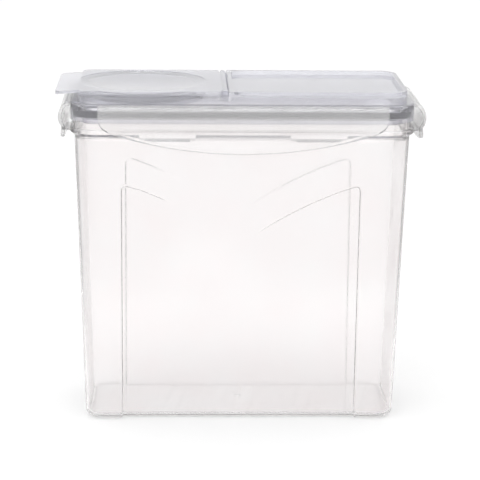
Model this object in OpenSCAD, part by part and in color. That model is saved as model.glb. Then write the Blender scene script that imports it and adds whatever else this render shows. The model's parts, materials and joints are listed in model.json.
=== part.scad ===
// Cereal container with a flip spout: clear tub, snap-lock lid, gasket and hinged pouring cap.
// Millimetres, Z up. X runs along the container, with the spout at -X, and the front is -Y.
// The origin is the middle of the base, on the surface that the container stands on.

/* [Tub] */
// Width of the wall just under the collar
tub_top_w = 228.2; // [215:0.2:250]
// Depth of the wall just under the collar
tub_top_d = 93.4; // [90:0.2:110]
// Width of the wall at the base
tub_base_w = 216.4; // [205:0.2:228]
// Depth of the wall at the base
tub_base_d = 77; // [74:0.5:90]
// Height of the wall, from the base to the collar
wall_h = 205; // [180:1:260]
// Thickness of the wall
wall_t = 1.8; // [1.2:0.1:2.4]
// Thickness of the floor
floor_t = 3; // [2:0.1:4]
// Corner radius in plan, just under the collar
corner_r = 15; // [12:0.5:20]
// Corner radius in plan, at the base
base_corner_r = 11; // [8:0.5:16]
// Radius of the bottom edge
bottom_edge_r = 5.5; // [2.5:0.5:7]
// How far the collar stands out from the wall
collar_out = 2.9; // [2:0.1:3.4]
// Height of the collar
collar_h = 3.8; // [3:0.1:6]
// Height of the collar's straight edge, above the slope under it
collar_edge = 2.8; // [2:0.1:3]
// Height of the slope under the collar
collar_slope = 2.6; // [1.5:0.1:3]
// Height of the neck above the collar
neck_h = 8.2; // [7.6:0.1:11]
// How far the neck stands out from the wall
neck_out = 0.5; // [0:0.1:0.6]
// How far the locking ribs hang below the collar
rib_drop = 1.5; // [1:0.1:3]
// Length of each locking rib on the front and back
long_rib = 38; // [24:1:44]
// Distance from the middle to the centre of a front locking rib
long_rib_x = 51; // [30:1:60]
// Length of the locking rib on each end
end_rib = 34; // [20:1:40]
// Diameter of the gate mark in the floor
gate_d = 5; // [3:0.5:8]
// Depth of the gate mark
gate_depth = 0.4; // [0.2:0.1:0.8]
// Place of the gate mark, behind the middle of the floor
gate_y = 6; // [0:1:12]

/* [Grip recess] */
// Half width of the recess in the front and back walls
recess_half_w = 81; // [70:1:90]
// Depth of the recess at its sides and foot
recess_depth = 2.4; // [1:0.1:3.4]
// Height of the top corners of the recess
recess_top = 169.6; // [140:0.2:180]
// Slope of the swept top edge at its outer end, in degrees
sweep_lean = 19; // [10:0.5:21]
// Height under which the recess has its full depth in the middle
recess_full = 70; // [30:1:90]
// Radius of the swept top edge
sweep_r = 285; // [200:5:400]
// Radius of the top corners of the recess
recess_corner_r = 5; // [2:0.5:10]
// Place where the left part of the top edge fades out
fade_left = 44; // [0:1:60]

/* [Lid] */
// Height of the lid's rim, which holds the wings
rim_h = 4.8; // [4:0.1:7]
// Height of the deck above the rim
deck_h = 8.5; // [6.8:0.1:12]
// Thickness of the lid's skins
skin = 1.8; // [1.2:0.1:2.2]
// How far the lid's rim stands out from the tub's wall
rim_out = 2.6; // [2.4:0.1:3]
// Radius of the rim's top edge
rim_edge_r = 1.6; // [0.5:0.1:2]
// Thickness of the skirt outside the neck
skirt_t = 1.5; // [1:0.1:1.6]
// How far the skirt reaches below the top of the neck
skirt_lap = 2.8; // [1:0.1:4]
// How far the inner ring reaches below the top of the neck
ring_lap = 5; // [3:0.5:9]
// Distance from the deck's ends to the line of the tub's wall
deck_inset_x = 2.6; // [1:0.1:6]
// Distance from the deck's sides to the line of the tub's wall
deck_inset_y = 0.7; // [0:0.1:2]
// Corner radius of the deck
deck_r = 12; // [6:0.5:16]
// Width of the raised edge round the panel
panel_edge = 3.2; // [2.4:0.1:6]
// Depth of the panel inside its raised edge
panel_depth = 2.7; // [1:0.1:3.5]
// Bevel on the edge of the panel that faces the cap
panel_bevel = 1; // [0.6:0.1:1.6]

/* [Spout and cap] */
// Radius of the pouring opening
mouth_r = 41; // [34:0.2:41.4]
// Centre of the pouring opening, left of the middle
mouth_x = 68.7; // [60:0.1:69]
// Thickness of the wall round the pouring opening
mouth_t = 1.6; // [1.2:0.1:2]
// How deep the wall of the pouring opening reaches
mouth_depth = 8; // [7:0.5:14]
// Thickness of the cap's plate
cap_t = 2.7; // [2.4:0.1:3.2]
// How far the cap stays inside the deck's sides
cap_inset = 0.6; // [0.3:0.1:2]
// Corner radius of the cap
cap_r = 6; // [3:0.5:10]
// Radius of the round dish in the cap
dish_r = 44; // [36:0.2:44]
// Depth of the cap's round dish at its rim
dish_depth = 0.3; // [0.2:0.1:1.8]
// How much the dish's floor falls towards its middle
dish_sag = 2.2; // [0:0.1:2.4]
// Thickness of the dish's floor
dish_t = 1.6; // [1.2:0.1:2]
// Gap between the plug and the wall of the pouring opening
plug_gap = 2.8; // [2.4:0.1:4]
// Thickness of the plug's wall
plug_t = 2.2; // [1.8:0.1:3]
// How deep the plug reaches below the cap's plate
plug_depth = 7; // [6.5:0.1:9]
// Length of the finger tab
tab_len = 15.4; // [8:0.2:20]
// Width of the finger tab
tab_w = 75; // [40:1:80]
// Thickness of the finger tab
tab_t = 1.9; // [1.4:0.1:2.2]
// How much the finger tab droops towards its end
tab_droop = 1; // [0:0.1:2]
// Height of the finger tab's underside above the cap's
tab_lift = 0.2; // [0:0.1:0.6]
// Length of the finger tab that stays level
tab_level = 2; // [1:0.5:6]
// Length of the bead under the finger tab's end
tab_bead = 1.6; // [1:0.1:3]
// How far that bead hangs below the tab
tab_bead_h = 0.4; // [0.2:0.1:0.6]

/* [Cap hinge] */
// Radius of the hinge barrel
barrel_r = 2; // [1.8:0.1:2.2]
// Length of the hinge barrel
barrel_len = 75; // [40:1:76]
// Radius of the hinge pins
hinge_pin_r = 1.3; // [1:0.05:1.4]
// Length of each hinge pin
hinge_pin_len = 4; // [2.5:0.1:4.2]
// Running clearance round a hinge pin
pin_clear = 0.06; // [0.03:0.01:0.1]
// Radius of the ears that hold the pins
ear_r = 2.4; // [2.2:0.1:2.6]
// Thickness of each ear
ear_t = 5.4; // [5:0.1:6]
// Place of the hinge, left of the middle
hinge_x = 12; // [11:0.5:14]
// Clearance between the hinge and the walls of its trough
hinge_room = 0.4; // [0.35:0.05:0.8]

/* [Wings] */
// Half width of the front and back wings
long_wing_half = 97.5; // [90:0.5:99]
// Half width of the end wings
end_wing_half = 36.5; // [25:0.5:37]
// Thickness of a wing
wing_t = 2.2; // [1.6:0.1:2.4]
// How far a wing bulges out from the line of the tub's wall
wing_bulge = 10.7; // [10:0.1:13]
// Height of the widest line of the bulge above the tub's collar
bulge_z = 6.5; // [6:0.1:8]
// Radius of the bulge under its widest line
bulge_r = 10.2; // [9.6:0.1:11]
// How far the bulge turns in under its widest line, in degrees
bulge_turn = 42; // [30:1:45]
// How far a wing's flat top reaches out from its film hinge
shoulder = 3.6; // [2.4:0.1:4.4]
// How far a wing's flat top lies below the top of the lid's rim
wing_step = 1.3; // [1:0.1:1.6]
// How far the film hinge stands out from the lid's rim
hinge_out = 0.2; // [0.1:0.05:0.3]
// How far the lower edge of a long wing's middle hangs below the collar's top
long_wing_drop = 14.5; // [13:0.5:20]
// How far the lower edge of an end wing's middle hangs below the collar's top
end_wing_drop = 10.3; // [10:0.1:14]
// Radius of a long wing's lower edge
long_wing_arc = 312; // [300:2:500]
// Radius of an end wing's lower edge
end_wing_arc = 180; // [120:5:400]
// Radius of a long wing's lower corners
long_wing_corner = 12; // [6:1:14]
// Radius of an end wing's lower corners
end_wing_corner = 8; // [4:1:12]
// How much the lip flares for each millimetre down
lip_flare = 0.14; // [0.05:0.01:0.2]
// Height of the raised rim along a wing's lower edge
lip_rim_h = 2; // [1:0.1:3]
// How far that rim stands out
lip_rim_out = 0.5; // [0.2:0.1:0.8]
// Radius of the bead along a wing's film hinge
bead_r = 0.9; // [0.6:0.05:1]
// How far each hook reaches in towards the tub's wall
hook_reach = 1.9; // [1.2:0.1:2.3]
// Thickness of a hook at its tip
hook_t = 1; // [0.6:0.1:1.4]
// How much a hook thickens for each millimetre towards its root
hook_slope = 0.1; // [0:0.01:0.15]
// How far a hook stays inside each end of its locking rib
hook_margin = 4; // [2:0.5:8]

/* [Seals] */
// Height of the lid's gasket
gasket_h = 4.6; // [3.5:0.1:6]
// Width of the lid's gasket
gasket_w = 6; // [4.5:0.1:6.6]
// Length of the gasket's inner wiper lip
wiper_h = 1.4; // [0.6:0.1:2]
// Gap between the wiper lip and the inside of the neck
wiper_gap = 0.4; // [0.3:0.05:0.6]
// Height of the cap's seal
seal_h = 4; // [3:0.1:4.5]
// How deep the seal sits in the plug
seal_seat = 0.9; // [0.4:0.1:1.1]
// How far the seal's body stands out from the plug
seal_out = 0.9; // [0.4:0.1:1.4]
// Thickness of the seal's lip at its tip
seal_tip = 0.6; // [0.4:0.1:1]
// Height of the plug's foot below the seal
plug_foot = 0.5; // [0.4:0.1:1]
// Gap left between the seal's lip and the wall of the opening
seal_gap = 0.35; // [0.3:0.05:0.6]

/* [Fits] */
// Clearance between parts that move past each other
gap = 0.3; // [0.25:0.05:0.4]
// Clearance round a part that is seated
seat_gap = 0.05; // [0.02:0.01:0.1]
// Clearance round the bead of a film hinge
film_gap = 0.1; // [0.05:0.05:0.15]

/* [Hidden] */
$fn = 96;
eps = 0.01;
over = 1;
hull_fn = 48;
clear_pp = "#E9EBF0";
frosted_pp = "#DCDFE8";
grey_silicone = "#4A4C55";

// Heights, from the base up
collar_z = wall_h;
collar_top = wall_h + collar_h;
neck_top = collar_top + neck_h;
gasket_top = neck_top + gasket_h;
channel_z = gasket_top + seat_gap;
rim_top = channel_z + rim_h;
deck_top = rim_top + deck_h;
rib_bottom = collar_z - rib_drop;
collar_low = collar_top - collar_edge;
slope_low = collar_low - collar_slope;

// Ring outside and inside the gasket, as distances out from the line of the tub's wall
skirt_in = rim_out - skirt_t;
gasket_out = skirt_in - seat_gap;
gasket_in = gasket_out - gasket_w;
ring_out = gasket_in - seat_gap;
ring_in = ring_out - skin;

// Deck, panel and spout housing
deck_w = tub_top_w - 2 * deck_inset_x;
deck_d = tub_top_d - 2 * deck_inset_y;
cap_z = deck_top - cap_t;
house_top = cap_z - gap;
hinge_z = deck_top - barrel_r;
panel_x0 = -hinge_x + barrel_r + hinge_room;
trough_x0 = -hinge_x - ear_r - hinge_room;
trough_z = hinge_z - ear_r - hinge_room;
mouth_bottom = house_top - mouth_depth;
ear_y0 = barrel_len / 2 + gap;

// Cap, plug and seal
plug_r = mouth_r - plug_gap;
plug_z = cap_z - plug_depth;
seal_z = plug_z + plug_foot;
tab_z = cap_z + tab_lift;
cap_x0 = -deck_w / 2 + gap;

// Wings: film hinge, then the arcs above and below the widest line, then the lip
wing_hinge_o = rim_out + hinge_out;
wing_top = rim_top - wing_step;
bulge_mid = collar_top + bulge_z;
crown_rise = wing_top - bulge_mid;
crown_run = wing_bulge - wing_hinge_o - shoulder;
crown_r = (pow(crown_rise, 2) + pow(crown_run, 2)) / 2 / crown_run;
crown_o = wing_bulge - crown_r;
bulge_o = wing_bulge - bulge_r;
lip_o = bulge_o + bulge_r * cos(bulge_turn);
lip_z = bulge_mid - bulge_r * sin(bulge_turn);
hook_top = rib_bottom - gap;

// Wall line at a height, as half of the width or depth
function share(z) = z / wall_h;
function wall_w(z) = tub_base_w + (tub_top_w - tub_base_w) * share(z);
function wall_d(z) = tub_base_d + (tub_top_d - tub_base_d) * share(z);
function wall_r(z) = base_corner_r + (corner_r - base_corner_r) * share(z);
function arc(cx, cy, r, a0, a1, n) =
    [for (i = [0 : n]) [cx + r * cos(a0 + (a1 - a0) * i / n), cy + r * sin(a0 + (a1 - a0) * i / n)]];

// Plan outline with true round corners
module plan(w, d, r) {
    square([w - 2 * r, d], center = true);
    square([w, d - 2 * r], center = true);
    for (sx = [-1, 1], sy = [-1, 1]) {
        translate([sx * (w / 2 - r), sy * (d / 2 - r)]) circle(r = r);
    }
}

// Block whose sides stand a distance o out from the line of the tub's wall
module block(o, z0, z1) {
    translate([0, 0, z0])
        linear_extrude(z1 - z0) plan(tub_top_w + 2 * o, tub_top_d + 2 * o, corner_r + o);
}

// Ring between two distances from the line of the tub's wall
module ring(o_in, o_out, z0, z1) {
    difference() {
        block(o_out, z0, z1);
        block(o_in, z0 - over, z1 + over);
    }
}

// Profile, drawn as [distance out, height], swept round the line of the tub's wall
module sweep_round() {
    for (s = [0, 1]) {
        rotate([0, 0, 180 * s]) {
            run(tub_top_w - 2 * corner_r, tub_top_d / 2) children();
            rotate([0, 0, 90]) run(tub_top_d - 2 * corner_r, tub_top_w / 2) children();
            translate([tub_top_w / 2 - corner_r, tub_top_d / 2 - corner_r, 0])
                rotate_extrude(angle = 90) translate([corner_r, 0]) children();
            translate([-tub_top_w / 2 + corner_r, tub_top_d / 2 - corner_r, 0])
                rotate([0, 0, 90]) rotate_extrude(angle = 90) translate([corner_r, 0]) children();
        }
    }
}

// Straight run of a profile along the side at +Y
module run(length, distance) {
    translate([-length / 2, distance, 0])
        rotate([90, 0, 90]) linear_extrude(length) children();
}

// Tapered body, with a round bottom edge, drawn in by a wall of thickness t
module taper(t, z0, z1) {
    r = max(bottom_edge_r - t, 1);
    hull() {
        for (i = [0 : 5]) {
            a = 90 * i / 5;
            z = z0 + r * (1 - cos(a));
            level(z, t + r * (1 - sin(a)));
        }
        level(z1 - eps, t);
    }
}

module level(z, inset) {
    translate([0, 0, z])
        linear_extrude(eps)
            plan(wall_w(z) - 2 * inset, wall_d(z) - 2 * inset, max(wall_r(z) - inset, 2), $fn = hull_fn);
}

// Centre of the swept top edge's arc, on the right half
function sweep_cx() = recess_half_w - recess_corner_r + sweep_r * sin(sweep_lean);
function sweep_cz() = recess_top - sweep_r * cos(sweep_lean);
function sweep_height(x) = sweep_cz() + sqrt(pow(sweep_r, 2) - pow(sweep_cx() - x, 2));

// Outline of one half of the grip recess from x_in outwards, seen from the front, grown by g
module recess_half(g, x_in) {
    r = sweep_r + g;
    rc = recess_corner_r + g;
    w = recess_half_w + g;
    cx = sweep_cx();
    cz = sweep_cz();
    corner_z = cz + sqrt(pow(r - rc, 2) - pow(cx - w + rc, 2));
    a_out = atan2(corner_z - cz, w - rc - cx);
    a_in = acos((x_in - cx) / r);
    polygon(concat(
        [[x_in, -over], [w, -over]],
        arc(w - rc, corner_z, rc, 0, a_out, 8),
        arc(cx, cz, r, a_out, a_in, 18)
    ));
}

// Everything outside a plane that stands g inside the local Y = 0
module outside(g) {
    translate([-tub_top_w, -tub_top_d + g, -2 * wall_h]) cube([2 * tub_top_w, tub_top_d, 4 * wall_h]);
}

// What the grip recess takes out of the front wall, g deeper and wider than its own size.
// Each half is deepest at its side edge, and its swept top edge fades out where the depth does.
// Under the sweep the middle deepens too, so that the foot of the recess is flat all across.
module recess_cut(g) {
    lean = atan((tub_top_d - tub_base_d) / 2 / wall_h);
    for (s = [-1, 1]) {
        fade = s < 0 ? fade_left : 0;
        turn = atan(recess_depth / (recess_half_w - fade));
        intersection() {
            rotate([90, 0, 0]) linear_extrude(tub_top_d)
                mirror([s < 0 ? 1 : 0, 0]) recess_half(g, fade);
            translate([s * fade, -tub_base_d / 2, 0]) rotate([lean, 0, 0])
                rotate([0, 0, s * turn]) outside(g);
        }
    }
    fade_z = sweep_height(0);
    intersection() {
        rotate([90, 0, 0]) linear_extrude(tub_top_d)
            translate([-recess_half_w - g, -over]) square([2 * (recess_half_w + g), fade_z + over]);
        translate([0, -wall_d(fade_z) / 2, fade_z])
            rotate([lean + atan(recess_depth / (fade_z - recess_full)), 0, 0]) outside(g);
        translate([0, -tub_base_d / 2, 0]) rotate([lean, 0, 0]) outside(g + recess_depth);
    }
}

module both_recesses(g) {
    recess_cut(g);
    mirror([0, 1, 0]) recess_cut(g);
}

// Locking rib under the collar, on the side at -Y, d from the middle
module rib(x, length, d) {
    translate([x - length / 2, -d - collar_out, rib_bottom])
        cube([length, collar_out + wall_t / 2, rib_drop + collar_h / 2]);
}

module tub() color(clear_pp) {
    difference() {
        union() {
            difference() {
                taper(0, 0, wall_h);
                both_recesses(0);
            }
            ring(-wall_t / 2, collar_out, collar_low, collar_top);
            sweep_round() polygon([
                [-wall_t / 2, slope_low],
                [0, slope_low],
                [collar_out, collar_low],
                [-wall_t / 2, collar_low]
            ]);
            ring(-wall_t, neck_out, collar_low, neck_top);
            for (s = [-1, 1]) {
                rib(s * long_rib_x, long_rib, tub_top_d / 2);
                rotate([0, 0, 180]) rib(s * long_rib_x, long_rib, tub_top_d / 2);
                rotate([0, 0, 90 * s]) rib(0, end_rib, tub_top_w / 2);
            }
        }
        difference() {
            taper(wall_t, floor_t, wall_h);
            both_recesses(wall_t);
        }
        block(-wall_t, wall_h - over, neck_top + over);
        translate([0, gate_y, floor_t - gate_depth]) cylinder(d = gate_d, h = gate_depth + over);
    }
}

// Part of the deck between two places along X, drawn in by an inset
module deck_part(x0, x1, z0, z1, inset) {
    intersection() {
        translate([0, 0, z0]) linear_extrude(z1 - z0)
            plan(deck_w - 2 * inset, deck_d - 2 * inset, deck_r - inset);
        translate([x0, -deck_d, z0 - over]) cube([x1 - x0, 2 * deck_d, z1 - z0 + 2 * over]);
    }
}

// Rim with a round top edge, the channel for the gasket, the skirt and the inner ring
module lid_rim() {
    ring(ring_in, rim_out, channel_z, channel_z + skin);
    difference() {
        union() {
            block(rim_out, channel_z, rim_top - rim_edge_r);
            block(rim_out - rim_edge_r, channel_z, rim_top);
            sweep_round() translate([rim_out - rim_edge_r, rim_top - rim_edge_r]) circle(r = rim_edge_r);
        }
        deck_part(-deck_w, deck_w, channel_z - over, rim_top + over, skin);
    }
    ring(skirt_in, rim_out, neck_top - skirt_lap, channel_z + skin);
    ring(ring_in, ring_out, neck_top - ring_lap, channel_z + skin);
}

// Housing of the spout on the left, trough of the hinge, and raised panel on the right
module deck() {
    roof = deck_top - panel_depth - skin;
    panel_w = deck_w / 2 - panel_x0 - 2 * panel_edge;
    difference() {
        union() {
            deck_part(-deck_w, panel_x0 + eps, rim_top - over, house_top, 0);
            deck_part(panel_x0, deck_w, rim_top - over, deck_top, 0);
        }
        deck_part(-deck_w, trough_x0 - skin, rim_top - 2 * over, house_top - skin, skin);
        deck_part(-deck_w, deck_w, rim_top - 2 * over, trough_z - skin, skin);
        deck_part(panel_x0 + skin, deck_w, rim_top - 2 * over, roof, skin);
        translate([trough_x0, -deck_d / 2 + skin, trough_z])
            cube([panel_x0 - trough_x0, deck_d - 2 * skin, deck_h]);
        translate([panel_x0 + panel_edge + panel_w / 2, 0, deck_top - panel_depth])
            linear_extrude(deck_h) plan(panel_w, deck_d - 2 * panel_edge, deck_r - panel_edge);
        translate([panel_x0, deck_d, deck_top]) rotate([90, 0, 0]) linear_extrude(2 * deck_d)
            polygon([[-over, over], [-over, -panel_bevel - over], [panel_bevel + over, over]]);
    }
}

// Ear that holds a hinge pin of the cap, on the side s
module ear(s) {
    mirror([0, s < 0 ? 1 : 0, 0]) {
        translate([-hinge_x, ear_y0, hinge_z]) rotate([-90, 0, 0]) cylinder(r = ear_r, h = ear_t);
        translate([-hinge_x - ear_r, ear_y0, trough_z - skin / 2])
            cube([panel_x0 + hinge_x + ear_r + skin / 2, ear_t, hinge_z - trough_z + skin / 2]);
    }
}

module ear_bore(s) {
    mirror([0, s < 0 ? 1 : 0, 0])
        translate([-hinge_x, ear_y0 - over, hinge_z]) rotate([-90, 0, 0])
            cylinder(r = hinge_pin_r + pin_clear, h = hinge_pin_len + over);
}

// The four wings' places: turn, half length and distance from the middle to the wall's line
WINGS = [
    [180, long_wing_half, tub_top_d / 2],
    [0, long_wing_half, tub_top_d / 2],
    [90, end_wing_half, tub_top_w / 2],
    [-90, end_wing_half, tub_top_w / 2]
];

module lid() color(clear_pp) {
    difference() {
        union() {
            lid_rim();
            deck();
            translate([-mouth_x, 0, mouth_bottom]) cylinder(r = mouth_r + mouth_t, h = mouth_depth);
            for (s = [-1, 1]) ear(s);
        }
        translate([-mouth_x, 0, mouth_bottom - over]) cylinder(r = mouth_r, h = mouth_depth + 2 * over);
        for (s = [-1, 1]) ear_bore(s);
        for (w = WINGS) {
            rotate([0, 0, w[0]]) translate([0, w[2] + wing_hinge_o, wing_top])
                rotate([0, 90, 0]) cylinder(r = bead_r + film_gap, h = 2 * w[1] + 2 * gap, center = true);
        }
    }
}

module lid_gasket() color(grey_silicone) {
    ring(gasket_in, gasket_out, neck_top, gasket_top);
    ring(gasket_in, -wall_t - wiper_gap, neck_top - wiper_h, neck_top + eps);
}

// Section of a wing, drawn as [distance out, height], with its lip moved out by a shift
module wing_section(z_low, shift) {
    flare = lip_flare * (lip_z - z_low);
    crown_a = asin(crown_rise / crown_r);
    inner_a = asin((crown_rise - wing_t) / (crown_r - wing_t));
    translate([shift, 0]) polygon(concat(
        [[rim_out + gap, wing_top]],
        arc(crown_o, bulge_mid, crown_r, crown_a, 0, 10),
        arc(bulge_o, bulge_mid, bulge_r, 0, -bulge_turn, 10),
        [
            [lip_o + flare, z_low],
            [lip_o + flare - wing_t, z_low],
            [lip_o - wing_t, lip_z]
        ],
        arc(bulge_o, bulge_mid, bulge_r - wing_t, -bulge_turn, 0, 10),
        arc(crown_o, bulge_mid, crown_r - wing_t, 0, inner_a, 10),
        [[rim_out + gap, wing_top - wing_t]]
    ));
}

// Outline of a wing seen square on, drawn in by an inset
module wing_outline(half, z_low, r_arc, r_corner, inset) {
    w = half - inset;
    r = r_arc - inset;
    rc = r_corner - inset;
    cz = z_low + r_arc;
    corner_z = cz - sqrt(pow(r - rc, 2) - pow(w - rc, 2));
    a = atan2(corner_z - cz, w - rc);
    polygon(concat(
        [[-w, wing_top + over], [w, wing_top + over]],
        arc(w - rc, corner_z, rc, 0, a, 6),
        arc(0, cz, r, a, -180 - a, 30),
        arc(rc - w, corner_z, rc, -180 - a, -180, 6)
    ));
}

// A wing on the side at +Y, its wall line a distance d from the middle
module wing(half, d, drop, r_arc, r_corner, hooks, hook_len) {
    z_low = collar_top - drop;
    intersection() {
        run_out(half, d) wing_section(z_low, 0);
        square_on(d) wing_outline(half, z_low, r_arc, r_corner, 0);
    }
    intersection() {
        run_out(half, d) intersection() {
            wing_section(z_low, lip_rim_out);
            translate([0, z_low]) square([2 * wing_bulge, lip_z - z_low]);
        }
        square_on(d) difference() {
            wing_outline(half, z_low, r_arc, r_corner, 0);
            wing_outline(half, z_low, r_arc, r_corner, lip_rim_h);
        }
    }
    translate([0, d + wing_hinge_o, wing_top]) rotate([0, 90, 0])
        cylinder(r = bead_r, h = 2 * half, center = true);
    for (x = hooks) translate([x, 0, 0]) run_out(hook_len / 2, d) hook_section();
}

// Section drawn as [distance out, height], run along the side at +Y
module run_out(half, d) {
    translate([-half, d, 0]) rotate([90, 0, 90]) linear_extrude(2 * half) children();
}

// Outline drawn square on to the side at +Y, run through the whole wing
module square_on(d) {
    translate([0, d + 2 * wing_bulge, 0]) rotate([90, 0, 0]) linear_extrude(2 * wing_bulge) children();
}

module hook_section() {
    tip = collar_out - hook_reach;
    root = lip_o - wing_t / 2;
    polygon([
        [tip, hook_top],
        [tip, hook_top - hook_t],
        [root, hook_top - hook_t - hook_slope * (root - tip)],
        [root, hook_top]
    ]);
}

module long_wing() {
    wing(long_wing_half, tub_top_d / 2, long_wing_drop, long_wing_arc, long_wing_corner,
        [-long_rib_x, long_rib_x], long_rib - 2 * hook_margin);
}

module end_wing() {
    wing(end_wing_half, tub_top_w / 2, end_wing_drop, end_wing_arc, end_wing_corner,
        [0], end_rib - 2 * hook_margin);
}

module front_wing() color(frosted_pp) rotate([0, 0, 180]) long_wing();
module back_wing() color(frosted_pp) long_wing();
module left_wing() color(frosted_pp) rotate([0, 0, 90]) end_wing();
module right_wing() color(frosted_pp) rotate([0, 0, -90]) end_wing();

// Height of the dish's floor at a distance from its middle
function dish_floor(r) = deck_top - dish_depth - dish_sag * (1 - pow(r / dish_r, 2));

module dish_cut() {
    translate([-mouth_x, 0, 0]) rotate_extrude() polygon(concat(
        [for (i = [0 : 12]) [dish_r * i / 12, dish_floor(dish_r * i / 12)]],
        [[dish_r, deck_top + over], [0, deck_top + over]]
    ));
}

// Hollow of the plug, under the dish's floor
module plug_cut() {
    r = plug_r - plug_t;
    translate([-mouth_x, 0, 0]) rotate_extrude() polygon(concat(
        [[0, plug_z - over], [r, plug_z - over]],
        [for (i = [12 : -1 : 0]) [r * i / 12, dish_floor(r * i / 12) - dish_t]]
    ));
}

// Finger tab, drooping towards its end, with round corners and a bead under the end
module tab() {
    x1 = cap_x0 - tab_len;
    end_z = tab_z - tab_droop;
    intersection() {
        translate([0, tab_w / 2, 0]) rotate([90, 0, 0]) linear_extrude(tab_w) polygon([
            [cap_x0 + cap_r, tab_z],
            [cap_x0 + cap_r, tab_z + tab_t],
            [cap_x0 - tab_level, tab_z + tab_t],
            [x1, end_z + tab_t],
            [x1, end_z - tab_bead_h],
            [x1 + tab_bead, end_z - tab_bead_h],
            [x1 + tab_bead, end_z],
            [cap_x0 - tab_level, tab_z]
        ]);
        translate([x1 + tab_len, 0, plug_z]) linear_extrude(deck_top) plan(2 * tab_len, tab_w, cap_r);
    }
}

module flip_cap() color(clear_pp) {
    cap_d = deck_d - 2 * cap_inset;
    difference() {
        union() {
            intersection() {
                translate([cap_x0 + deck_w / 2, 0, cap_z]) linear_extrude(cap_t) plan(deck_w, cap_d, cap_r);
                translate([cap_x0 - over, -deck_d, cap_z - over])
                    cube([trough_x0 - cap_x0 + over, 2 * deck_d, cap_t + 2 * over]);
            }
            tab();
            translate([trough_x0 - over, -barrel_len / 2, cap_z])
                cube([-hinge_x - trough_x0 + over, barrel_len, cap_t]);
            translate([-hinge_x, 0, hinge_z]) rotate([90, 0, 0])
                cylinder(r = barrel_r, h = barrel_len, center = true);
            translate([-hinge_x, 0, hinge_z]) rotate([90, 0, 0])
                cylinder(r = hinge_pin_r, h = barrel_len + 2 * hinge_pin_len, center = true);
            translate([-mouth_x, 0, plug_z]) cylinder(r = plug_r, h = plug_depth + over);
        }
        dish_cut();
        plug_cut();
        translate([-mouth_x, 0, seal_z]) difference() {
            cylinder(r = plug_r + over, h = seal_h);
            translate([0, 0, -over]) cylinder(r = plug_r - seal_seat, h = seal_h + 2 * over);
        }
    }
}

module cap_seal() color(grey_silicone) {
    r_in = plug_r - seal_seat + seat_gap;
    r_body = plug_r + seal_out;
    r_lip = mouth_r - seal_gap;
    z0 = seal_z + seat_gap;
    z1 = seal_z + seal_h - seat_gap;
    translate([-mouth_x, 0, 0]) rotate_extrude() polygon([
        [r_in, z0],
        [r_body, z0],
        [r_lip, (z0 + z1 - seal_tip) / 2],
        [r_lip, (z0 + z1 + seal_tip) / 2],
        [r_body, z1],
        [r_in, z1]
    ]);
}

tub();
lid();
lid_gasket();
front_wing();
back_wing();
left_wing();
right_wing();
flip_cap();
cap_seal();
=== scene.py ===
"""Looks of the cereal container: clear polypropylene tub, lid and cap, satin wings, dark silicone seals.

The container stands at the origin with its spout at -X and its front at -Y, as in the CAD frame.
"""

import json
import math

import bpy
import bmesh
from mathutils import Matrix, Vector


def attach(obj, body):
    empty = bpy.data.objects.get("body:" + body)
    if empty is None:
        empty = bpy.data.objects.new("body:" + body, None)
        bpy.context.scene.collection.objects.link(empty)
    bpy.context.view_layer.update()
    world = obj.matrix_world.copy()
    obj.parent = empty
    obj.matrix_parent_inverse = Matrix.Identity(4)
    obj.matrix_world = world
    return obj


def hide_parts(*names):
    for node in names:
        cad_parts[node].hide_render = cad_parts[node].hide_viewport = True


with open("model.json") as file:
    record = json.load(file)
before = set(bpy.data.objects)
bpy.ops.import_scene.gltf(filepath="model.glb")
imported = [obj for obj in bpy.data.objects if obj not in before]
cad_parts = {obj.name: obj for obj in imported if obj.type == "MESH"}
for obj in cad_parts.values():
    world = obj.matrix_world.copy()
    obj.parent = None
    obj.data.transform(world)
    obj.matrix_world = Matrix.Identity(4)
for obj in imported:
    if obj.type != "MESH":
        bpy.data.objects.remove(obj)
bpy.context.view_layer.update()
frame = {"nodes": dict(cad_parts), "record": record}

MM = 0.001

# Camera, from a fit of the container's edges in the photograph, 480 pixels wide
CAMERA_PLACE = Vector((-46.03, -1275.36, 449.18)) * MM
CAMERA_AIM = Vector((0.035177, 0.967825, -0.249152))
CAMERA_ROLL = math.radians(0.635)
CAMERA_FOCAL_PIXELS = 1859.7
PICTURE_PIXELS = 480
SENSOR = 36.0

# Studio: strength of the soft light all round, the floor's paint, and what it adds where it is seen
SOFT_LIGHT = 1.05
FLOOR_SIZE = 4.0
FLOOR_WHITE = 0.5
FLOOR_GLOW = 0.49

# What the plastic mirrors: the room is dim where it is neither behind nor above the container, and the
# floor glows only over a strip that widens to the back, in metres
ROOM_DIM = 0.74
DIM_BELOW, WHITE_ABOVE = 0.1, 0.6
GLOW_HALF_WIDTH = 0.2
GLOW_SPREAD = 0.2
GLOW_FRONT = -0.25
GLOW_FADE = 0.12

# Light passes through up to a dozen walls of the lid and the tub, and runs along inside their plates
GLASSY_BOUNCES = 40
MILKY_BOUNCES = 12

# Moulded surfaces: length of the flow clouds and of the slight waviness. The mould's own texture is
# finer than 0.1 mm, so the grains are drawn coarser than they are, to show in a picture
FLOW_CLOUD = 38.0
WAVINESS = 7.0
GLOSS_GRAIN = 1.2
SATIN_GRAIN = 0.7
RUBBER_BLOOM = 6.0
RUBBER_GRAIN, RUBBER_GRAIN_H = 0.9, 0.03

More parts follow.
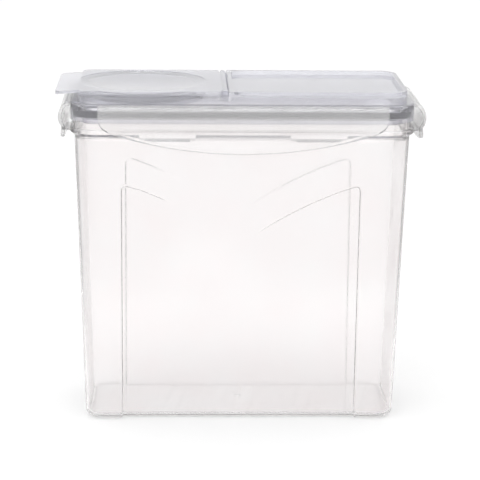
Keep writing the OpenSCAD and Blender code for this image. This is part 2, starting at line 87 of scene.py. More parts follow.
# Tub: wall line at the collar and at the base, then the wall, the foot and the collar
TOP_W, TOP_D, TOP_R = 228.2, 93.4, 15.0
BASE_W, BASE_D, BASE_R = 216.4, 77.0, 11.0
WALL_H = 205.0
WALL_T = 1.8
FLOOR_T = 3.0
FOOT_R = 5.5
COLLAR_OUT = 2.9
COLLAR_TOP = 208.8
COLLAR_LOW = 206.0
SLOPE_LOW = 203.4
NECK_OUT = 0.5
NECK_TOP = 217.0
RIB_DROP = 2.3
LONG_RIB = (32.0, 70.0)
END_RIB = 17.0
RIB_END_SLOPE = 0.2
GATE_Y = 6.0
GATE_R = 2.5
GATE_DEPTH = 0.4

# Grip recess: half width, depth, corner, and the arc of its swept top edge
RECESS_W = 81.0
RECESS_DEPTH = 2.4
RECESS_R = 5.0
RECESS_TOP = 169.6
RECESS_FULL = 70.0
RECESS_STEP = 1.5
FADE_LEFT = 44.0
FADE_RIGHT = -5.0
FRONT_LEFT_SHIFT = 1.7
SWEEP_END = 2.0
SWEEP_R = 285.0
SWEEP_LEAN = math.radians(19)
SWEEP_X = RECESS_W - RECESS_R + SWEEP_R * math.sin(SWEEP_LEAN)
SWEEP_Z = RECESS_TOP - SWEEP_R * math.cos(SWEEP_LEAN)

# Wings: hinge line, crown and bulge arcs of their section, the lip with its raised rim, softened edges,
# and at the ends how far the section draws in at a distance from the end
HINGE_OUT = 2.8
WING_START = 2.9
WING_TOP = 225.15
WING_T = 2.2
BULGE_Z = 215.3
CROWN_OUT, CROWN_R = -2.73, 13.43
BULGE_OUT, BULGE_R = 0.5, 10.2
BULGE_TURN = math.radians(42)
LIP_OUT = BULGE_OUT + BULGE_R * math.cos(BULGE_TURN)
LIP_Z = BULGE_Z - BULGE_R * math.sin(BULGE_TURN)
LIP_FLARE = 0.14
LIP_RIM_H, LIP_RIM_OUT = 2.0, 0.5
RIM_SLOPE = 0.2
FACE_SOFT_R, BACK_SOFT_R = 0.7, 0.5
END_INSETS = ((0, 0.4), (0.06, 0.2), (0.2, 0.06), (0.4, 0))
BEAD_R = 0.9
HOOK_TIP, HOOK_ROOT, HOOK_LOW, HOOK_TOP = 1.0, 6.58, 202.2, 203.2
HOOK_EDGE_R = 0.25

# Height of the foot of the lid's raised deck
DECK_FOOT = 225.5

# Long wings at the front and back, end wings at the left and right
LONG_WING = {
    "half": 97.5,
    "low": 194.3,
    "r_arc": 312,
    "r_corner": 12,
    "hooks": (-51, 51),
    "hook_half": 15,
}
END_WING = {"half": 36.5, "low": 198.5, "r_arc": 180, "r_corner": 8, "hooks": (0,), "hook_half": 13}

# Copied solids: corners this close are one; the angle under which the lid's and the cap's edges are
# shaded smooth; the rounding of the seals' edges, and what counts there as flat and as sharp
MERGE_DISTANCE = 0.002
CRISP_ANGLE = math.radians(35)
GASKET_EDGE_R, CAP_SEAL_EDGE_R = 0.5, 0.2
FLAT_ANGLE = math.radians(0.4)
SEAL_SHARP_ANGLE = math.radians(32)

# Facets round a corner of the tub, its foot, its gate mark, an edge, a hinge bead, between two kinks of a
# wing's section, round a wing's corner, and along half a wing
CORNER_STEPS = 24
FOOT_STEPS = 6
GATE_STEPS = 32
EDGE_STEPS = 3
BEAD_STEPS = 14
FACE_STEPS = 7
WING_CORNER_STEPS = 8
WING_STEPS = 24

# Tub's columns, from the recess's side outwards and inwards, then evenly; its rows below and above the
# sweep, and the ones that crowd along it
COLUMNS_OUT = (9, 6, 4, 2.5, 1.5, 1.1, 0.8, 0.5, 0.25, 0)
COLUMNS_IN = (0.25, 0.5, 0.8, 1.1, 1.5, 2.2, 3, 4, 5, 6.5, 8.5)
COLUMN_STEP, COLUMN_COUNT = 4.0, 17
ROWS_BELOW, ROWS_ABOVE = 16, 7
SWEEP_ROWS = (-4, -2.8, -2, -1.5, -1.1, -0.8, -0.5, -0.25, 0, 0.25, 0.5, 0.8, 1.1, 1.6)


def linear(hex_colour):
    """sRGB hex colour as linear RGBA."""
    values = [int(hex_colour[i : i + 2], 16) / 255 for i in (1, 3, 5)]
    return [v / 12.92 if v <= 0.04045 else ((v + 0.055) / 1.055) ** 2.4 for v in values] + [1.0]


def add_node(tree, kind, inputs=None, links=None, **settings):
    """Adds a node with its settings, its inputs' values and its links."""
    node = tree.nodes.new(kind)
    for name, value in settings.items():
        setattr(node, name, value)
    for name, value in (inputs or {}).items():
        node.inputs[name].default_value = value
    for name, socket in (links or {}).items():
        tree.links.new(socket, node.inputs[name])
    return node


def new_material(name):
    """An empty node material and its tree."""
    material = bpy.data.materials.new(name)
    material.use_nodes = True
    material.node_tree.nodes.clear()
    return material, material.node_tree


def polypropylene(name, milk, clearness, gloss, wave_height, grain, grain_height, absorb=None, density=0.0):
    """Polypropylene, injection moulded: glassy with a little milkiness, and where it absorbs, greyer
    edge-on, where light's way through it is long. Flow clouds make it unevenly hazy, and the mould's
    slight waviness bends what is seen through it. Lengths are in millimetres."""
    material, tree = new_material(name)
    place = add_node(tree, "ShaderNodeTexCoord").outputs["Object"]
    clouds = add_node(
        tree, "ShaderNodeTexNoise", {"Scale": 1.0 / (FLOW_CLOUD * MM), "Detail": 2.0}, {"Vector": place}
    )
    swells = add_node(
        tree, "ShaderNodeTexNoise", {"Scale": 1.0 / (WAVINESS * MM), "Detail": 2.0}, {"Vector": place}
    )
    specks = add_node(
        tree, "ShaderNodeTexNoise", {"Scale": 1.0 / (grain * MM), "Detail": 3.0}, {"Vector": place}
    )
    tint = add_node(tree, "ShaderNodeMix", links={"Factor": clouds.outputs["Fac"]}, data_type="RGBA")
    tint.inputs["A"].default_value = linear(milk[0])
    tint.inputs["B"].default_value = linear(milk[1])
    haze = add_node(
        tree,
        "ShaderNodeMapRange",
        {"From Min": 0.3, "From Max": 0.7, "To Min": gloss[0], "To Max": gloss[1]},
        {"Value": clouds.outputs["Fac"]},
    )
    waves = add_node(
        tree,
        "ShaderNodeBump",
        {"Strength": 0.25, "Distance": wave_height * MM},
        {"Height": swells.outputs["Fac"]},
    )
    surface = add_node(
        tree,
        "ShaderNodeBump",
        {"Strength": 0.5, "Distance": grain_height * MM},
        {"Height": specks.outputs["Fac"], "Normal": waves.outputs["Normal"]},
    )
    shader = add_node(
        tree,
        "ShaderNodeBsdfPrincipled",
        {"IOR": 1.49, "Transmission Weight": clearness},
        {
            "Base Color": tint.outputs["Result"],
            "Roughness": haze.outputs["Result"],
            "Normal": surface.outputs["Normal"],
        },
    )
    output = add_node(tree, "ShaderNodeOutputMaterial", links={"Surface": shader.outputs["BSDF"]})
    if absorb:
        absorption = add_node(
            tree, "ShaderNodeVolumeAbsorption", {"Color": linear(absorb), "Density": density}
        )
        tree.links.new(absorption.outputs["Volume"], output.inputs["Volume"])
    return material


def silicone(name, dark, light):
    """Compression-moulded silicone rubber: a matt dark grey with a soft bloom of fine dust."""
    material, tree = new_material(name)
    place = add_node(tree, "ShaderNodeTexCoord").outputs["Object"]
    bloom = add_node(
        tree, "ShaderNodeTexNoise", {"Scale": 1.0 / (RUBBER_BLOOM * MM), "Detail": 4.0}, {"Vector": place}
    )
    specks = add_node(
        tree, "ShaderNodeTexNoise", {"Scale": 1.0 / (RUBBER_GRAIN * MM), "Detail": 3.0}, {"Vector": place}
    )
    tint = add_node(tree, "ShaderNodeMix", links={"Factor": bloom.outputs["Fac"]}, data_type="RGBA")
    tint.inputs["A"].default_value = linear(dark)
    tint.inputs["B"].default_value = linear(light)
    matt = add_node(
        tree, "ShaderNodeMapRange", {"To Min": 0.45, "To Max": 0.65}, {"Value": bloom.outputs["Fac"]}
    )
    surface = add_node(
        tree,
        "ShaderNodeBump",
        {"Strength": 0.4, "Distance": RUBBER_GRAIN_H * MM},
        {"Height": specks.outputs["Fac"]},
    )
    shader = add_node(
        tree,
        "ShaderNodeBsdfPrincipled",
        {"IOR": 1.41},
        {
            "Base Color": tint.outputs["Result"],
            "Roughness": matt.outputs["Result"],
            "Normal": surface.outputs["Normal"],
        },
    )
    add_node(tree, "ShaderNodeOutputMaterial", links={"Surface": shader.outputs["BSDF"]})
    return material


def make_camera():
    """Places the camera where the photograph was taken from."""
    data = bpy.data.cameras.new("camera")
    data.sensor_width = SENSOR
    data.lens = CAMERA_FOCAL_PIXELS / PICTURE_PIXELS * SENSOR
    camera = bpy.data.objects.new("camera", data)
    right = CAMERA_AIM.cross(Vector((0, 0, 1))).normalized()
    up = right.cross(CAMERA_AIM).normalized()
    turned_right = right * math.cos(CAMERA_ROLL) + up * math.sin(CAMERA_ROLL)
    turned_up = up * math.cos(CAMERA_ROLL) - right * math.sin(CAMERA_ROLL)
    axes = Matrix((turned_right, turned_up, -CAMERA_AIM)).transposed()
    camera.matrix_world = Matrix.Translation(CAMERA_PLACE) @ axes.to_4x4()
    bpy.context.scene.collection.objects.link(camera)
    bpy.context.scene.camera = camera


def seen_directly(tree):
    """1 for what the camera, a reflection or clear plastic shows, and 0 for the light that falls on
    things."""
    path = add_node(tree, "ShaderNodeLightPath")
    seen = path.outputs["Is Camera Ray"]
    for ray in ("Is Glossy Ray", "Is Transmission Ray"):
        either = add_node(
            tree, "ShaderNodeMath", links={0: seen, 1: path.outputs[ray]}, operation="MAXIMUM"
        )
        seen = either.outputs["Value"]
    return seen


def where_mirrored(tree, share):
    """A share where what is seen has been mirrored on its way, and 1 where it is seen straight."""
    depth = add_node(tree, "ShaderNodeLightPath").outputs["Glossy Depth"]
    chosen = add_node(tree, "ShaderNodeMapRange", {"To Min": 1.0}, {"Value": depth, "To Max": share})
    return chosen.outputs["Result"]


def make_world():
    """White studio: an even soft light, pure white where it is seen. Mirrored in or inside the plastic,
    it is dimmer at the sides and in front of the container, which gives clear plastic its grey edges."""
    world = bpy.data.worlds.new("studio")
    world.use_nodes = True
    tree = world.node_tree
    tree.nodes.clear()
    place = add_node(tree, "ShaderNodeTexCoord").outputs["Generated"]
    axes = add_node(tree, "ShaderNodeSeparateXYZ", links={"Vector": place})
    bright = add_node(
        tree, "ShaderNodeMath", links={0: axes.outputs["Y"], 1: axes.outputs["Z"]}, operation="MAXIMUM"
    )
    backdrop = add_node(
        tree,
        "ShaderNodeMapRange",
        {"From Min": DIM_BELOW, "From Max": WHITE_ABOVE, "To Min": ROOM_DIM},
        {"Value": bright.outputs["Value"]},
    )
    strength = add_node(
        tree,
        "ShaderNodeMapRange",
        {"To Min": SOFT_LIGHT},
        {"Value": seen_directly(tree), "To Max": where_mirrored(tree, backdrop.outputs["Result"])},
    )
    background = add_node(
        tree, "ShaderNodeBackground", {"Color": (1, 1, 1, 1)}, {"Strength": strength.outputs["Result"]}
    )
    add_node(tree, "ShaderNodeOutputWorld", links={"Surface": background.outputs["Background"]})
    bpy.context.scene.world = world


def make_floor():
    """White sweep that the container stands on. It keeps the container's shadow and glows where it is
    seen. Mirrored, it glows only behind and round the container."""
    mesh = bmesh.new()
    bmesh.ops.create_grid(mesh, x_segments=1, y_segments=1, size=FLOOR_SIZE)
    floor = new_piece("floor", mesh)
    material, tree = new_material("white studio sweep")
    white = (FLOOR_WHITE, FLOOR_WHITE, FLOOR_WHITE, 1)
    paint = add_node(tree, "ShaderNodeBsdfDiffuse", {"Color": white})
    place = add_node(tree, "ShaderNodeTexCoord").outputs["Object"]
    axes = add_node(tree, "ShaderNodeSeparateXYZ", links={"Vector": place})
    spread = add_node(
        tree, "ShaderNodeMath", {1: -GLOW_SPREAD}, {0: axes.outputs["Y"]}, operation="MULTIPLY"
    )
    off_middle = add_node(tree, "ShaderNodeMath", links={0: axes.outputs["X"]}, operation="ABSOLUTE")
    aside = add_node(
        tree,
        "ShaderNodeMath",
        links={0: off_middle.outputs["Value"], 1: spread.outputs["Value"]},
        operation="ADD",
    )
    middle = add_node(
        tree,
        "ShaderNodeMapRange",
        {"From Min": GLOW_HALF_WIDTH + GLOW_FADE, "From Max": GLOW_HALF_WIDTH},
        {"Value": aside.outputs["Value"]},
    )
    behind = add_node(
        tree,
        "ShaderNodeMapRange",
        {"From Min": GLOW_FRONT - GLOW_FADE, "From Max": GLOW_FRONT},
        {"Value": axes.outputs["Y"]},
    )
    lit = add_node(
        tree,
        "ShaderNodeMath",
        links={0: middle.outputs["Result"], 1: behind.outputs["Result"]},
        operation="MULTIPLY",
    )
    shown = add_node(
        tree, "ShaderNodeMath", {1: FLOOR_GLOW}, {0: seen_directly(tree)}, operation="MULTIPLY"
    )
    strength = add_node(
        tree,
        "ShaderNodeMath",
        links={0: shown.outputs["Value"], 1: where_mirrored(tree, lit.outputs["Value"])},
        operation="MULTIPLY",
    )
    glow = add_node(
        tree, "ShaderNodeEmission", {"Color": (1, 1, 1, 1)}, {"Strength": strength.outputs["Value"]}
    )
    both = add_node(
        tree, "ShaderNodeAddShader", links={0: paint.outputs["BSDF"], 1: glow.outputs["Emission"]}
    )
    add_node(tree, "ShaderNodeOutputMaterial", links={"Surface": both.outputs["Shader"]})
    floor.data.materials.append(material)


def new_piece(name, mesh):
    """Turns a finished bmesh into an object at the origin."""
    data = bpy.data.meshes.new(name)
    mesh.to_mesh(data)
    mesh.free()
    piece = bpy.data.objects.new(name, data)
    bpy.context.scene.collection.objects.link(piece)
    return piece


def area_light(name, place, target, size, power):
    """A soft lamp aimed at a point."""
    data = bpy.data.lights.new(name, "AREA")
    data.shape = "RECTANGLE"
    data.size, data.size_y = size
    data.energy = power
    lamp = bpy.data.objects.new(name, data)
    lamp.location = place
    lamp.rotation_euler = (Vector(target) - Vector(place)).to_track_quat("-Z", "Y").to_euler()
    bpy.context.scene.collection.objects.link(lamp)


NODE_BODY = {node: body for body, nodes in frame["record"]["behaviour"]["bodies"].items() for node in nodes}


def dress(piece, node, material):
    """Gives a piece its finish, and lets it stand for its CAD node and move with the node's body."""
    for face in piece.data.polygons:
        face.use_smooth = True
    piece.data.materials.append(material)
    shading = piece.modifiers.new("flat faces stay flat", "WEIGHTED_NORMAL")
    shading.mode = "FACE_AREA"
    shading.keep_sharp = True
    shading.weight = 100
    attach(piece, NODE_BODY[node])
    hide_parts(node)


def merged_copy(node):
    """A copy of a CAD node with its loose triangles joined."""
    mesh = bmesh.new()
    mesh.from_mesh(frame["nodes"][node].data)
    bmesh.ops.remove_doubles(mesh, verts=mesh.verts, dist=MERGE_DISTANCE * MM)
    return mesh


def moulded_copy(node, name, material, lower_material=None):
    """A CAD node's own shape, its edges crisp and its round faces smooth. The lid's faces below its deck's
    foot get a clearer finish."""
    mesh = merged_copy(node)
    for edge in mesh.edges:
        edge.smooth = edge.calc_face_angle(0) < CRISP_ANGLE
    if lower_material:
        for face in mesh.faces:
            face.material_index = 1 if face.calc_center_median().z < DECK_FOOT * MM else 0
    piece = new_piece(name, mesh)
    dress(piece, node, material)
    if lower_material:
        piece.data.materials.append(lower_material)


def soft_ring(node, name, material, radius):
    """A seal, with its sharp edges rounded."""
    mesh = merged_copy(node)
    bmesh.ops.dissolve_limit(
        mesh, angle_limit=FLAT_ANGLE, verts=mesh.verts, edges=mesh.edges, delimit=set()
    )
    sharp = [edge for edge in mesh.edges if edge.calc_face_angle(0) > SEAL_SHARP_ANGLE]
    round_edges(mesh, sharp, radius)
    dress(new_piece(name, mesh), node, material)


def round_edges(mesh, edges, radius):
    """Rounds edges with three facets each."""
    bmesh.ops.bevel(
        mesh,
        geom=edges,
        offset=radius * MM,
        offset_type="OFFSET",
        segments=EDGE_STEPS,
        profile=0.5,
        affect="EDGES",
        clamp_overlap=False,
        loop_slide=True,
        material=-1,
    )


def first_ring(mesh, points):
    """A closed ring of vertices at points in millimetres."""
    ring = bmesh.ops.create_circle(mesh, segments=len(points), radius=1)["verts"]
    for vert, point in zip(ring, points):
        vert.co = Vector(point) * MM
    return ring


def ring_edges(mesh, ring):
    """The edges of a closed ring of vertices, in order."""
    return [mesh.edges.get(pair) for pair in zip(ring, ring[1:] + ring[:1])]


def carry(mesh, ring, points):
    """Extrudes a closed ring of vertices to new points in millimetres, and returns the new ring."""
    grown = bmesh.ops.extrude_edge_only(mesh, edges=ring_edges(mesh, ring))["geom"]
    fresh = {item for item in grown if isinstance(item, bmesh.types.BMVert)}
    new_ring = []
    for vert, point in zip(ring, points):
        twin = next(e.other_vert(vert) for e in vert.link_edges if e.other_vert(vert) in fresh)
        twin.co = Vector(point) * MM
        new_ring.append(twin)
    return new_ring


def eased(corners):
    """Points along a closed outline whose corners, given as (out, height, radius), are rounded."""
    points = []
    for i, (out, height, radius) in enumerate(corners):
        here = Vector((out, height))
        if radius == 0:
            points.append(here)
            continue
        back = (Vector(corners[i - 1][:2]) - here).normalized() * radius
        on = (Vector(corners[(i + 1) % len(corners)][:2]) - here).normalized() * radius
        for k in range(EDGE_STEPS + 1):
            t = k / EDGE_STEPS
            points.append(here + back * (1 - t) ** 2 + on * t**2)
    return points


def smooth_step(t):
    """0 below 0, 1 above 1, and an S curve between."""
    t = min(max(t, 0.0), 1.0)
    return t * t * (3 - 2 * t)


def sweep_height(x):
    """Height of the recess's swept top edge."""
    run = SWEEP_X - min(abs(x), RECESS_W - SWEEP_END)
    return SWEEP_Z + math.sqrt(SWEEP_R**2 - run**2)


def recess_depth(x, z):
    """How far the grip recess lies inside the wall. It is deepest at its sides and foot, and fades out
    towards the middle of its swept top edge. The middle of its step lies on its outline."""
    inner = FADE_LEFT if x < 0 else FADE_RIGHT
    side = min(max((abs(x) - inner) / (RECESS_W - inner), 0.0), 1.0)
    side = 1 - (1 - side) ** 3
    middle_top = sweep_height(0)
    foot = smooth_step((middle_top - z) / (middle_top - RECESS_FULL))
    from_side = RECESS_W - abs(x)
    from_top = SWEEP_R - math.hypot(abs(x) - SWEEP_X, z - SWEEP_Z)
    inside = min(from_side, from_top)
    if from_side < RECESS_R and from_top < RECESS_R:
        inside = RECESS_R - math.hypot(RECESS_R - from_side, RECESS_R - from_top)
    edge = smooth_step(inside / RECESS_STEP + 0.5)
    return RECESS_DEPTH * edge * (side + foot - side * foot)


def side_columns():
    """Places along the front and back, close together at the recess's sides and at the ribs' ends."""
    right = [RECESS_W + d for d in COLUMNS_OUT]
    right += [RECESS_W - d for d in COLUMNS_IN]
    right += [end + d for end in LONG_RIB for d in (-RIB_END_SLOPE, RIB_END_SLOPE)]
    even = [COLUMN_STEP * k for k in range(1, COLUMN_COUNT + 1)]
    right += [x for x in even if min(abs(x - end) for end in LONG_RIB) > 1]
    right.sort()
    return [-x for x in reversed(right)] + [0.0] + right


def tub_stations():
    """Places round the tub in order: (side, distance along it), or (corner, angle)."""
    ends = [end + d for end in (-END_RIB, END_RIB) for d in (-RIB_END_SLOPE, RIB_END_SLOPE)]
    stations = []
    for quarter, side in enumerate(("right", "back", "left", "front")):
        places = ends if side in ("right", "left") else side_columns()
        if side in ("back", "left"):
            places = reversed(places)
        stations += [(side, place) for place in places]
        stations += [(quarter, 90 * (quarter + i / CORNER_STEPS)) for i in range(CORNER_STEPS + 1)]
    return stations


def under_rib(side, place):
    """Whether a locking rib hangs under the collar at this place."""
    if side in ("left", "right"):
        return abs(place) < END_RIB
    return side in ("front", "back") and LONG_RIB[0] < abs(place) < LONG_RIB[1]


def tub_ring(stations, follow, height, out, drop=0.0):
    """Points round the tub, out from its wall's line. Their height is a share of the recess's swept top
    edge plus a fixed height, less a drop at the ribs."""
    points = []
    for side, place in stations:
        along = place if side in ("front", "back") else RECESS_W
        z = follow * sweep_height(along) + height - (drop if under_rib(side, place) else 0.0)
        share = min(z / WALL_H, 1.0)
        half_x = (BASE_W + (TOP_W - BASE_W) * share) / 2 + out
        half_y = (BASE_D + (TOP_D - BASE_D) * share) / 2 + out
        if side in ("left", "right"):
            points.append((half_x if side == "right" else -half_x, place, z))
        elif side in ("front", "back"):
            y = half_y - recess_depth(place, z)
            shift = FRONT_LEFT_SHIFT if side == "front" and place < -LONG_RIB[1] - 1 else 0.0
            points.append((place - shift, y if side == "back" else -y, z))
        else:
            r = max(BASE_R + (TOP_R - BASE_R) * share + out, 2.0)
            sign_x = 1 if side in (0, 3) else -1
            sign_y = 1 if side in (0, 1) else -1
            turn = math.radians(place)
            x = sign_x * (half_x - r) + r * math.cos(turn)
            y = sign_y * (half_y - r) + r * math.sin(turn)
            points.append((x, y, z))
    return points


def wall_rows():
    """Rows up the wall, each a share of the sweep's height and a height. They crowd along the sweep."""
    low = 60.0
    top = 200.0
    under = 6.0
    over = 2.5
    rows = [(0, 10.0 * k) for k in range(1, 7)]
    for k in range(1, ROWS_BELOW + 1):
        share = k / ROWS_BELOW
        rows.append((share, low + share * (-under - low)))
    rows += [(1, d) for d in SWEEP_ROWS]
    for k in range(ROWS_ABOVE + 1):
        share = k / ROWS_ABOVE
        rows.append((1 - share, over * (1 - share) + top * k / ROWS_ABOVE))
    return rows


def foot_rows(radius, floor):
    """Rows round the bottom edge: out from the wall's line, and height."""
    turns = [math.radians(90 * k / FOOT_STEPS) for k in range(FOOT_STEPS + 1)]
    return [(-radius * (1 - math.sin(a)), floor + radius * (1 - math.cos(a))) for a in turns]


def make_tub(material):
    """Clear tub: outside from the foot up, over the collar and the neck's rim, and down inside."""
    mesh = bmesh.new()
    stations = tub_stations()
    foot = [(0, z, out, 0) for out, z in foot_rows(FOOT_R, 0)]
    wall = [(follow, z, 0, 0) for follow, z in wall_rows()]
    # Share of the sweep's height, height, out from the wall's line, and drop at the ribs
    collar = [
        (0, SLOPE_LOW, 0, 0),
        (0, COLLAR_LOW - 0.25, COLLAR_OUT - 0.3, RIB_DROP),
        (0, COLLAR_LOW + 0.05, COLLAR_OUT - 0.07, RIB_DROP),
        (0, COLLAR_LOW + 0.4, COLLAR_OUT, RIB_DROP),
        (0, COLLAR_TOP - 0.5, COLLAR_OUT, 0),
        (0, COLLAR_TOP - 0.15, COLLAR_OUT - 0.15, 0),
        (0, COLLAR_TOP, COLLAR_OUT - 0.5, 0),
        (0, COLLAR_TOP, NECK_OUT + 0.4, 0),
        (0, COLLAR_TOP + 0.12, NECK_OUT + 0.12, 0),
        (0, COLLAR_TOP + 0.4, NECK_OUT, 0),
        (0, NECK_TOP - 0.6, NECK_OUT, 0),
        (0, NECK_TOP - 0.18, NECK_OUT - 0.18, 0),
        (0, NECK_TOP, NECK_OUT - 0.6, 0),
        (0, NECK_TOP, 0.6 - WALL_T, 0),
        (0, NECK_TOP - 0.18, 0.18 - WALL_T, 0),
        (0, NECK_TOP - 0.6, -WALL_T, 0),
        (0, WALL_H, -WALL_T, 0),
    ]
    inside = [(follow, z, -WALL_T, 0) for follow, z in reversed(wall_rows())]
    inner_foot = [(0, z, out - WALL_T, 0) for out, z in reversed(foot_rows(FOOT_R - WALL_T, FLOOR_T))]
    rows = foot + wall + collar + inside + inner_foot
    ring = first_ring(mesh, tub_ring(stations, *rows[0]))
    bmesh.ops.edgeloop_fill(mesh, edges=ring_edges(mesh, ring))
    for row in rows[1:]:
        ring = carry(mesh, ring, tub_ring(stations, *row))
    gate = bmesh.ops.create_circle(mesh, segments=GATE_STEPS, radius=GATE_R * MM)["verts"]
    bmesh.ops.translate(mesh, verts=gate, vec=Vector((0, GATE_Y, FLOOR_T)) * MM)
    loops = ring_edges(mesh, ring) + ring_edges(mesh, gate)
    bmesh.ops.triangle_fill(mesh, edges=loops, use_beauty=True)
    sunk = [v.co / MM - Vector((0, 0, GATE_DEPTH)) for v in gate]
    bmesh.ops.edgeloop_fill(mesh, edges=ring_edges(mesh, carry(mesh, gate, sunk)))
    bmesh.ops.recalc_face_normals(mesh, faces=mesh.faces)
    dress(new_piece("clear_tub", mesh), "tub", material)


def wing_face(z):
    """A point of the wing's outer face at a height, and its outward direction there."""
    if z >= BULGE_Z:
        out = CROWN_OUT + math.sqrt(CROWN_R**2 - (z - BULGE_Z) ** 2)
        return Vector((out, z)), Vector((out - CROWN_OUT, z - BULGE_Z)).normalized()
    if z >= LIP_Z:
        out = BULGE_OUT + math.sqrt(BULGE_R**2 - (z - BULGE_Z) ** 2)
        return Vector((out, z)), Vector((out - BULGE_OUT, z - BULGE_Z)).normalized()
    out = LIP_OUT + LIP_FLARE * (LIP_Z - z)
    return Vector((out, z)), Vector((1, LIP_FLARE)).normalized()


def bead_arc(radius):
    """The film hinge's bead, from the wing's back over its top to the wing's flat top."""
    joint = math.acos((WING_START - HINGE_OUT) / radius)
    turns = [(2 * math.pi - joint) * (1 - k / BEAD_STEPS) for k in range(BEAD_STEPS + 1)]
    return [(HINGE_OUT + radius * math.cos(a), WING_TOP + radius * math.sin(a)) for a in turns]


def wing_section(low, inset=0.0):
    """Outline of the wing's section down to a height, with the raised rim along its edge."""
    low = low + inset
    rim_top = LIP_RIM_H + RIM_SLOPE
    heights = [low + d for d in (0, 1.0, 1.5, LIP_RIM_H - RIM_SLOPE, LIP_RIM_H, rim_top, 2.5, 3.2)]
    kink = max(LIP_Z, heights[-1] + 0.4)
    middle = max(BULGE_Z, kink + 0.6)
    for start, end in ((heights[-1], kink), (kink, middle), (middle, WING_TOP)):
        heights += [start + (end - start) * k / FACE_STEPS for k in range(1, FACE_STEPS + 1)]
    rim = LIP_RIM_OUT * smooth_step((LIP_Z - low) / 3)
    outer = []
    inner = []
    for z in reversed(heights):
        face, away = wing_face(z)
        raised = rim * smooth_step((low + rim_top - z) / (2 * RIM_SLOPE))
        outer.append(face + away * (raised - inset))
        inner.append(face - away * (WING_T - inset))
    outer[0].y = WING_TOP - inset
    corners = [(*point, 0) for point in bead_arc(BEAD_R - inset / 2)]
    corners += [(*outer[0], FACE_SOFT_R)]
    corners += [(*point, 0) for point in outer[1:-1]]
    corners += [(*outer[-1], FACE_SOFT_R), (*inner[-1], FACE_SOFT_R)]
    corners += [(*point, 0) for point in reversed(inner[:-1])]
    corners += [(WING_START + inset, WING_TOP - WING_T + inset, BACK_SOFT_R)]
    return eased(corners)


def wing_columns(half, low, r_arc, r_corner):
    """Places along a wing: (place, height of its curved edge there, how far the section draws in to
    round the wing's end)."""
    centre_z = low + r_arc
    corner_x = half - r_corner
    corner_z = centre_z - math.sqrt((r_arc - r_corner) ** 2 - corner_x**2)
    end_turn = math.atan2(corner_x, centre_z - corner_z)
    columns = []
    for from_end, inset in END_INSETS:
        run = r_corner - from_end
        columns.append((corner_x + run, corner_z - math.sqrt(r_corner**2 - run**2), inset))
    start_turn = math.acos(math.sqrt(r_corner**2 - run**2) / r_corner)
    for k in range(1, WING_CORNER_STEPS + 1):
        turn = start_turn + (end_turn - start_turn) * k / WING_CORNER_STEPS
        columns.append((corner_x + r_corner * math.sin(turn), corner_z - r_corner * math.cos(turn), 0))
    for k in range(1, WING_STEPS + 1):
        turn = end_turn * (1 - k / WING_STEPS)
        columns.append((r_arc * math.sin(turn), centre_z - r_arc * math.cos(turn), 0))
    mirrored = [(-x, z, inset) for x, z, inset in columns[:-1]]
    return mirrored + list(reversed(columns))


def make_wing(side, turn, distance, material, half, low, r_arc, r_corner, hooks, hook_half):
    """A snap-lock wing with its film hinge's bead and its hooks, modelled at +Y and turned into place."""
    mesh = bmesh.new()
    ring = None
    for x, edge_z, inset in wing_columns(half, low, r_arc, r_corner):
        points = [(x, distance + out, z) for out, z in wing_section(edge_z, inset)]
        if ring is None:
            ring = first_ring(mesh, points)
            bmesh.ops.edgeloop_fill(mesh, edges=ring_edges(mesh, ring))
        else:
            ring = carry(mesh, ring, points)
    bmesh.ops.edgeloop_fill(mesh, edges=ring_edges(mesh, ring))
    for hook_x in hooks:
        size = Vector((2 * hook_half, HOOK_ROOT - HOOK_TIP, HOOK_TOP - HOOK_LOW)) * MM
        centre = Vector((hook_x, distance + (HOOK_TIP + HOOK_ROOT) / 2, (HOOK_LOW + HOOK_TOP) / 2)) * MM
        place = Matrix.Translation(centre) @ Matrix.Diagonal((*size, 1))
        hook = bmesh.ops.create_cube(mesh, size=1, matrix=place)["verts"]
        round_edges(mesh, list({edge for v in hook for edge in v.link_edges}), HOOK_EDGE_R)
    bmesh.ops.recalc_face_normals(mesh, faces=mesh.faces)
    turned = Matrix.Rotation(math.radians(turn), 4, "Z")
    bmesh.ops.transform(mesh, matrix=turned, verts=mesh.verts)
    dress(new_piece(side + "_lock_wing", mesh), side + "_wing", material)


make_camera()
make_world()
make_floor()
area_light("key softbox", place=(-0.35, -0.5, 1.5), target=(0, 0, 0.1), size=(1.0, 1.0), power=4)
area_light("front softbox", place=(0, -1.6, 0.5), target=(0, 0, 0.12), size=(2.0, 1.2), power=8)

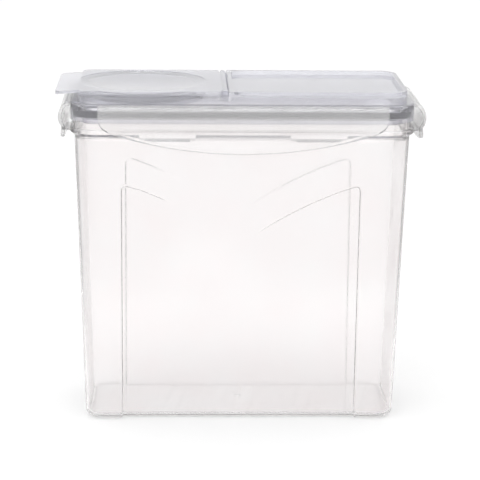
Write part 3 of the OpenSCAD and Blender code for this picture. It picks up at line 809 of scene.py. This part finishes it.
# The tub came from a polished mould: glass clear, a little warm, and grey along its edges
tub_plastic = polypropylene(
    "clear polypropylene tub",
    milk=("#FFFFFF", "#FFFBFB"),
    clearness=0.97,
    gloss=(0.05, 0.12),
    wave_height=0.008,
    grain=GLOSS_GRAIN,
    grain_height=0.002,
    absorb="#8C8684",
    density=3.2,
)
# The lid's skirt is as glossy, and cooler
skirt_plastic = polypropylene(
    "clear polypropylene skirt",
    milk=("#F8F8FC", "#F2F2F8"),
    clearness=0.87,
    gloss=(0.06, 0.12),
    wave_height=0.01,
    grain=GLOSS_GRAIN,
    grain_height=0.003,
)
# The lid's deck and the flip cap are thicker: milky and lilac-grey
deck_plastic = polypropylene(
    "milky polypropylene deck",
    milk=("#F4F4F9", "#EEEEF4"),
    clearness=0.76,
    gloss=(0.08, 0.14),
    wave_height=0.02,
    grain=GLOSS_GRAIN,
    grain_height=0.003,
)
# The wings came from a fine-blasted mould: neutral white with a satin haze
wing_plastic = polypropylene(
    "satin polypropylene wing",
    milk=("#FFFFFF", "#FCFBFB"),
    clearness=0.86,
    gloss=(0.12, 0.2),
    wave_height=0.02,
    grain=SATIN_GRAIN,
    grain_height=0.006,
)
grey_silicone = silicone("dark grey silicone", dark="#14151A", light="#1B1C22")

make_tub(tub_plastic)
moulded_copy("lid", "clear_lid", deck_plastic, skirt_plastic)
moulded_copy("flip_cap", "pouring_cap", deck_plastic)
for side, turn in (("back", 0), ("front", 180)):
    make_wing(side, turn, TOP_D / 2, wing_plastic, **LONG_WING)
for side, turn in (("left", 90), ("right", -90)):
    make_wing(side, turn, TOP_W / 2, wing_plastic, **END_WING)
soft_ring("lid_gasket", "lid_seal_ring", grey_silicone, GASKET_EDGE_R)
soft_ring("cap_seal", "plug_seal_ring", grey_silicone, CAP_SEAL_EDGE_R)

scene = bpy.context.scene
scene.cycles.max_bounces = GLASSY_BOUNCES
scene.cycles.transmission_bounces = GLASSY_BOUNCES
scene.cycles.glossy_bounces = GLASSY_BOUNCES
scene.cycles.diffuse_bounces = MILKY_BOUNCES
scene.view_settings.view_transform = "Standard"
